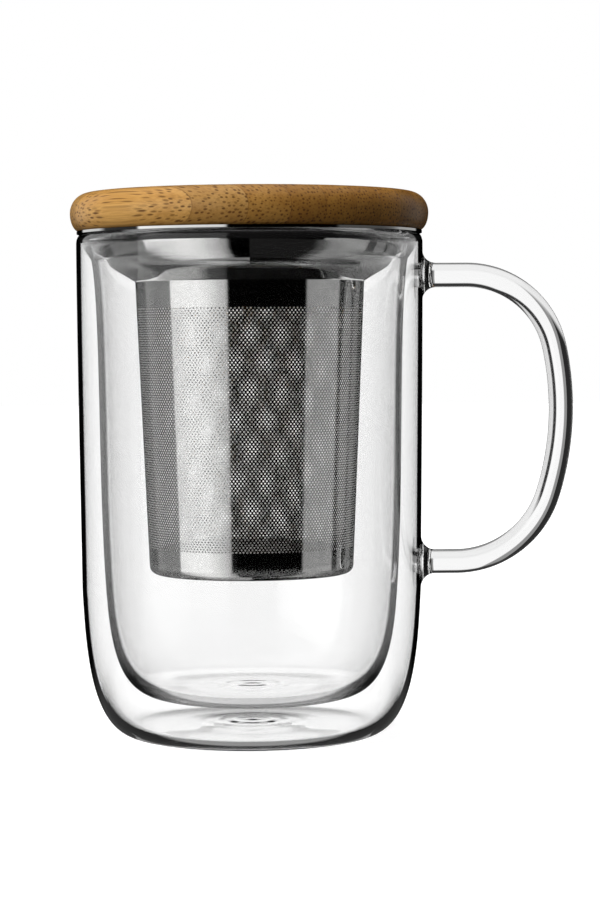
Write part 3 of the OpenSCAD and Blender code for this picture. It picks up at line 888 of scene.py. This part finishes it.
print("the screen will have", SECTORS * BRICKS * ROWS, "holes")


# %% [markdown]
# The sheet is polished outside only. Its inner side is matt and scatters the light that
# falls in through the holes, so each hole shows bright. One cone half way through the
# sheet tells the two sides apart.

# %% Pierced steel
MATT = (0.85, 0.85, 0.84)
pierced_steel = finished_material("pierced steel", wear, "Metallic", 1,
                                  Sharpness=0.03, Grain=0.15)
tree = pierced_steel.node_tree
shader = tree.nodes["Principled BSDF"]
place = node(tree, "ShaderNodeTexCoord").outputs["Object"]
parts = node(tree, "ShaderNodeSeparateXYZ", place)
square = math_node(tree, "MULTIPLY", parts.outputs["X"], parts.outputs["X"])
square = math_node(tree, "MULTIPLY_ADD", parts.outputs["Y"], parts.outputs["Y"], square)
slope = (BASKET_TOP_R - BASKET_FOOT_R) / (BOWL_FOOT_Z - SCREEN_FOOT_Z)
cone = math_node(tree, "MULTIPLY_ADD", parts.outputs["Z"], slope,
                 (basket_r(0) - SHEET / 2) * MM)
polished = math_node(tree, "GREATER_THAN", math_node(tree, "SQRT", square), cone)
bright = shader.inputs["Base Color"].links[0].from_socket
give(shader, Base_Color=mix_colour(tree, polished, MATT, bright), Metallic=polished)
print("the pierced sheet narrows by", round(2 * slope, 3), "of its height")

# %% Screen sectors
for sector in range(SECTORS):
    points, quads = screen_sector(sector * 2 * BRICKS)
    make_object(f"infuser_screen_{sector + 1}", points, quads, [], pierced_steel, "infuser",
                ["infuser_screen"], "steel", crease=40)

# %% [markdown]
# ## Bamboo lid
# The board is glued up from twelve strips. Each strip is the part of the rounded board
# between two upright planes, so its surface is a function of the distance s from the
# board's middle and a turn around the strip. All strips share one solid texture.

# %% Strips
LID_R, LID_Z, LID_TOP_Z = 44.2, 124.6, 134.0
EDGE_Z = LID_TOP_Z - 5.0  # height at which the board is widest
TOP_ROUND, FOOT_ROUND = 4.6, 2.4  # how far in from the edge each face is curved
STRIPS, END_SHARE = 12, 0.67  # an end strip is this share as wide
STRIP_WIDTH = 2 * LID_R / (STRIPS - 2 + 2 * END_SHARE)
JOINT_SHIFT = -0.2  # the joints aren't quite centred on the board
CHAMFER_IN, CHAMFER_DROP = 0.06, 0.05
GRAIN = math.radians(-45)  # direction of the strips
ALONG = 81  # points along each face of a strip
print("a strip is", round(STRIP_WIDTH, 2), "mm wide")


def board_heights(r):
    """Heights of the board's two faces at a radius: flat, then a quarter of an ellipse.

    With t from 0 where a face starts to curve to 1 at the edge, the face lies at the
    edge's height plus its own height above that times sqrt(1 - t^2).
    """
    top_in = np.clip((r - (LID_R - TOP_ROUND)) / TOP_ROUND, 0, 1)
    foot_in = np.clip((r - (LID_R - FOOT_ROUND)) / FOOT_ROUND, 0, 1)
    return (EDGE_Z + (LID_TOP_Z - EDGE_Z) * np.sqrt(1 - top_in**2),
            EDGE_Z - (EDGE_Z - LID_Z) * np.sqrt(1 - foot_in**2))


def strip(near, far):
    """Strip between two planes at distances near and far from the board's middle.

    Row i lies at s_i, and its half length is U = sqrt(R^2 - s^2). Along it u = U sin w,
    out along the top face and back along the lower one. The edges at both planes are
    broken by a fine chamfer, which shows as the joint line.
    """
    s = LID_R * np.sin(np.linspace(math.asin(near / LID_R), math.asin(far / LID_R), 15))
    s = np.concatenate([s[:1], [s[0] + CHAMFER_IN], s[1:-1], [s[-1] - CHAMFER_IN], s[-1:]])
    w = np.radians(np.linspace(-90, 90, ALONG))
    u = np.sqrt(LID_R**2 - s**2)[:, None] * np.sin(w)
    top, foot = board_heights(np.minimum(np.hypot(u, s[:, None]), LID_R))
    chamfer = np.zeros(len(s))
    chamfer[[0, -1]] = CHAMFER_DROP
    top = top - chamfer[:, None] * (top > EDGE_Z + 0.2)
    loop_u = np.hstack([u, u[:, -2:0:-1]])
    loop_z = np.hstack([top, foot[:, -2:0:-1]])
    n = loop_u.shape[1]
    s_grid = np.broadcast_to(s[:, None], loop_u.shape)
    x = loop_u * math.cos(GRAIN) - s_grid * math.sin(GRAIN)
    y = loop_u * math.sin(GRAIN) + s_grid * math.cos(GRAIN)
    points = np.stack([x, y, loop_z], -1).reshape(-1, 3)
    quads = grid_faces(len(s), n)
    c = np.arange(1, ALONG - 2)
    ends = (0, (len(s) - 1) * n)  # first point of the first and last row
    caps = [np.stack([f + c, f + c + 1, f + n - c - 1, f + n - c], 1) for f in ends]
    tips = [[f, f + 1, f + n - 1] for f in ends]
    tips += [[f + ALONG - 2, f + ALONG - 1, f + ALONG] for f in ends]
    quads = np.vstack([quads, caps[0][:, ::-1], caps[1]])
    triangles = [tips[0][::-1], tips[1], tips[2][::-1], tips[3]]
    return points, quads, triangles


# %% [markdown]
# Cut bamboo shows its bundles of fibres: fine dark streaks where the cut runs along
# them, and small dots where it runs across. One solid pattern does both. It is made of
# round cells in the plane across the fibres, drawn out very long along them, and each
# strip takes its own tone, partly painted sheen and painted shade, and its own part of
# the pattern.

# %% Bamboo finish
# Tone of each strip, from the left front to the right rear. It is partly the strip's own
# tone and partly painted light: painted sheen makes the strips at the left front paler
# and yellower, and painted shade makes those towards the right darker and browner.
STRIP_TONES_AND_PAINTED_LIGHT = [(1.1, 1.13, 1.2), (0.84, 0.85, 0.88), (0.8, 0.77, 0.68), (0.68, 0.62, 0.5),
          (0.76, 0.69, 0.52), (0.73, 0.65, 0.48), (0.84, 0.75, 0.55), (0.7, 0.63, 0.48),
          (0.8, 0.72, 0.55), (0.88, 0.8, 0.65), (0.75, 0.72, 0.65), (0.85, 0.83, 0.8)]
DARK_FIBRE, PORE, GLUE = (0.26, 0.11, 0.022), (0.10, 0.038, 0.008), (0.09, 0.035, 0.01)
fibres, given, result, place = finish_group("bamboo", "Shade")
along = node(fibres, "ShaderNodeMapping", place, Rotation=(0, 0, -GRAIN)).outputs[0]
parts = node(fibres, "ShaderNodeSeparateXYZ", along)
number = math_node(fibres, "SUBTRACT", parts.outputs["Y"], JOINT_SHIFT * MM)
number = math_node(fibres, "DIVIDE", number, STRIP_WIDTH * MM)
strip_number = math_node(fibres, "FLOOR", number)
own = node(fibres, "ShaderNodeTexWhiteNoise", noise_dimensions="1D", W=strip_number)

# Bundles: round cells in the plane of distance across and height, the same all along
moved = node(fibres, "ShaderNodeVectorMath", own.outputs["Color"], operation="SCALE",
             Scale=0.05)
shifted = node(fibres, "ShaderNodeVectorMath", along, moved.outputs[0],
               operation="ADD").outputs[0]
# No fibre is quite straight, so the cells sway by up to a millimetre along their length
sway = noise(fibres, stretched(fibres, shifted, (0.35, 1, 1)), 60, 2)
sway = math_node(fibres, "MULTIPLY", sway, 0.0011)
pieces = node(fibres, "ShaderNodeSeparateXYZ", shifted)
across = node(fibres, "ShaderNodeCombineXYZ",
              math_node(fibres, "ADD", pieces.outputs["Y"], sway),
              math_node(fibres, "ADD", pieces.outputs["Z"], sway))
bundles = node(fibres, "ShaderNodeTexVoronoi", across.outputs[0],
               voronoi_dimensions="2D", Scale=1180, Randomness=0.8)
# A cell's random colour gives its bundle a size and a darkness of its own
hue = node(fibres, "ShaderNodeSeparateColor", bundles.outputs["Color"])
size = math_node(fibres, "MULTIPLY_ADD", hue.outputs[0], 0.2, 0.24)
size = math_node(fibres, "DIVIDE", bundles.outputs["Distance"], size)
dots = ramp(fibres, size, [(0.45, 1.0), (1.0, 0.0)])
dots = math_node(fibres, "MULTIPLY", dots, ramp(fibres, hue.outputs[1],
                                                [(0.1, 0.3), (0.7, 1.0)]))
print("the bundles take", len(fibres.nodes), "nodes")

# %% Bamboo ground
# Fine hairs and slow clouds along the fibres, then the tone of the strip with its
# painted sheen and painted shade
hair = noise(fibres, stretched(fibres, shifted, (0.012, 1, 1)), 2600, 3, 0.6)
cloud = noise(fibres, stretched(fibres, shifted, (0.1, 1, 1)), 140, 3, 0.6)
ground = ramp(fibres, cloud, [(0.25, (0.42, 0.20, 0.045)), (0.55, (0.55, 0.29, 0.075)),
                              (0.8, (0.66, 0.38, 0.12))])
ground = mix_colour(fibres, ramp(fibres, hair, [(0.35, 0.35), (0.6, 0.0)]), ground,
                    DARK_FIBRE)
place_in_row = math_node(fibres, "MULTIPLY_ADD", strip_number, 1 / STRIPS, 0.5 + 0.5 / STRIPS)
# The strips' tones carry painted sheen at the left front and painted shade towards the right
strip_tones_and_painted_light = ramp(fibres, place_in_row, [(k / STRIPS, v) for k, v in enumerate(STRIP_TONES_AND_PAINTED_LIGHT)],
              "CONSTANT")
ground = mix_colour(fibres, 1.0, ground, strip_tones_and_painted_light, "MULTIPLY")
tones = node(fibres, "ShaderNodeCombineXYZ", *[given.outputs["Shade"]] * 3)
ground = mix_colour(fibres, 1.0, ground, tones.outputs[0], "MULTIPLY")
colour = mix_colour(fibres, math_node(fibres, "MULTIPLY", dots, 0.9), ground, PORE)
print("with the ground it is", len(fibres.nodes), "nodes")

# %% Glue lines and relief
# How far across its strip a point lies: 0 in the middle and 0.5 at a joint
inside = math_node(fibres, "SUBTRACT", number, strip_number)
inside = math_node(fibres, "ABSOLUTE", math_node(fibres, "SUBTRACT", inside, 0.5))
glue = ramp(fibres, inside, [(0.487, 0.0), (0.496, 0.4)])
colour = mix_colour(fibres, glue, colour, GLUE)
rough = math_node(fibres, "MULTIPLY_ADD", hair, 0.12, 0.27)
rough = math_node(fibres, "MULTIPLY_ADD", dots, 0.1, rough)
relief = math_node(fibres, "MULTIPLY_ADD", dots, -0.6, hair)
bump = node(fibres, "ShaderNodeBump", Strength=0.25, Distance=0.00006, Height=relief)
give(result, Color=colour, Roughness=rough, Normal=bump.outputs[0])
OILED = ("Specular IOR Level", 0.2)  # an oiled board shines less than a lacquered one
board_bamboo = finished_material("oiled bamboo", fibres, *OILED, Shade=1.0)
plug_bamboo = finished_material("turned bamboo", fibres, *OILED, Shade=0.9)
print("the bamboo finish has", len(fibres.nodes), "nodes")

# %% Lid strips
END_R = LID_R - 0.02  # the end strips need some width at their tips
inner = [JOINT_SHIFT + (k - STRIPS / 2) * STRIP_WIDTH for k in range(1, STRIPS)]
bounds = [-END_R, *inner, END_R]
for k in range(STRIPS):
    points, quads, triangles = strip(bounds[k], bounds[k + 1])
    make_object(f"lid_board_{k + 1}", points, quads, triangles, board_bamboo, "lid",
                [f"lid_strip_{k + 1}"], "bamboo", crease=35)

# %% [markdown]
# The plug under the board is turned from bamboo too, with a groove for a silicone ring.

# %% Plug
PLUG_R, PLUG_FOOT_Z = BOWL_R - STEEL - 3, LID_Z - 6
GROOVE_R = PLUG_R - 2
RING_TOP_Z, RING_FOOT_Z = LID_Z - 0.8, LID_Z - 2.8
plug = [[0, PLUG_FOOT_Z], [PLUG_R - 0.8, PLUG_FOOT_Z], [PLUG_R - 0.35, PLUG_FOOT_Z + 0.15],
        [PLUG_R - 0.1, PLUG_FOOT_Z + 0.4], [PLUG_R, PLUG_FOOT_Z + 0.8],
        [PLUG_R, RING_FOOT_Z], [GROOVE_R, RING_FOOT_Z], [GROOVE_R, RING_TOP_Z],
        [PLUG_R, RING_TOP_Z], [PLUG_R, LID_Z], [0, LID_Z]]
make_object("lid_plug_turned", *revolve(plug, 160), plug_bamboo, "lid", ["lid_plug"],
            "bamboo", crease=35)

# %% [markdown]
# Silicone lets a little light in, and its dull skin gathers dust. The ring has a root in
# the groove and a lip that bends against the bowl.

# %% Silicone ring
silicone, tree, shader = new_material("silicone")
dust = noise(tree, node(tree, "ShaderNodeTexCoord").outputs["Object"], 500)
give(shader, Subsurface_Weight=0.2, Subsurface_Scale=0.002,
     Base_Color=ramp(tree, dust, [(0.3, (0.80, 0.80, 0.77)), (0.7, (0.87, 0.87, 0.84))]),
     Roughness=math_node(tree, "MULTIPLY_ADD", dust, 0.15, 0.42))
MIDDLE_Z = (RING_TOP_Z + RING_FOOT_Z) / 2
TIP_R = BOWL_R - STEEL - 0.3
ring = chain(
    [[GROOVE_R, RING_FOOT_Z]], [[PLUG_R + 0.4, RING_FOOT_Z]],
    bezier([PLUG_R + 0.5, RING_FOOT_Z + 0.1], [PLUG_R + 0.8, MIDDLE_Z - 0.5],
           [PLUG_R + 1.2, MIDDLE_Z - 0.4], [TIP_R - 0.1, MIDDLE_Z - 0.02], 8),
    [[TIP_R, MIDDLE_Z + 0.1]], [[TIP_R, MIDDLE_Z + 0.4]], [[TIP_R - 0.1, MIDDLE_Z + 0.5]],
    [[PLUG_R + 0.4, RING_TOP_Z]], [[GROOVE_R, RING_TOP_Z]])
make_object("lid_ring", *revolve(ring, 160), silicone, "lid", ["lid_seal"], "silicone", crease=50)
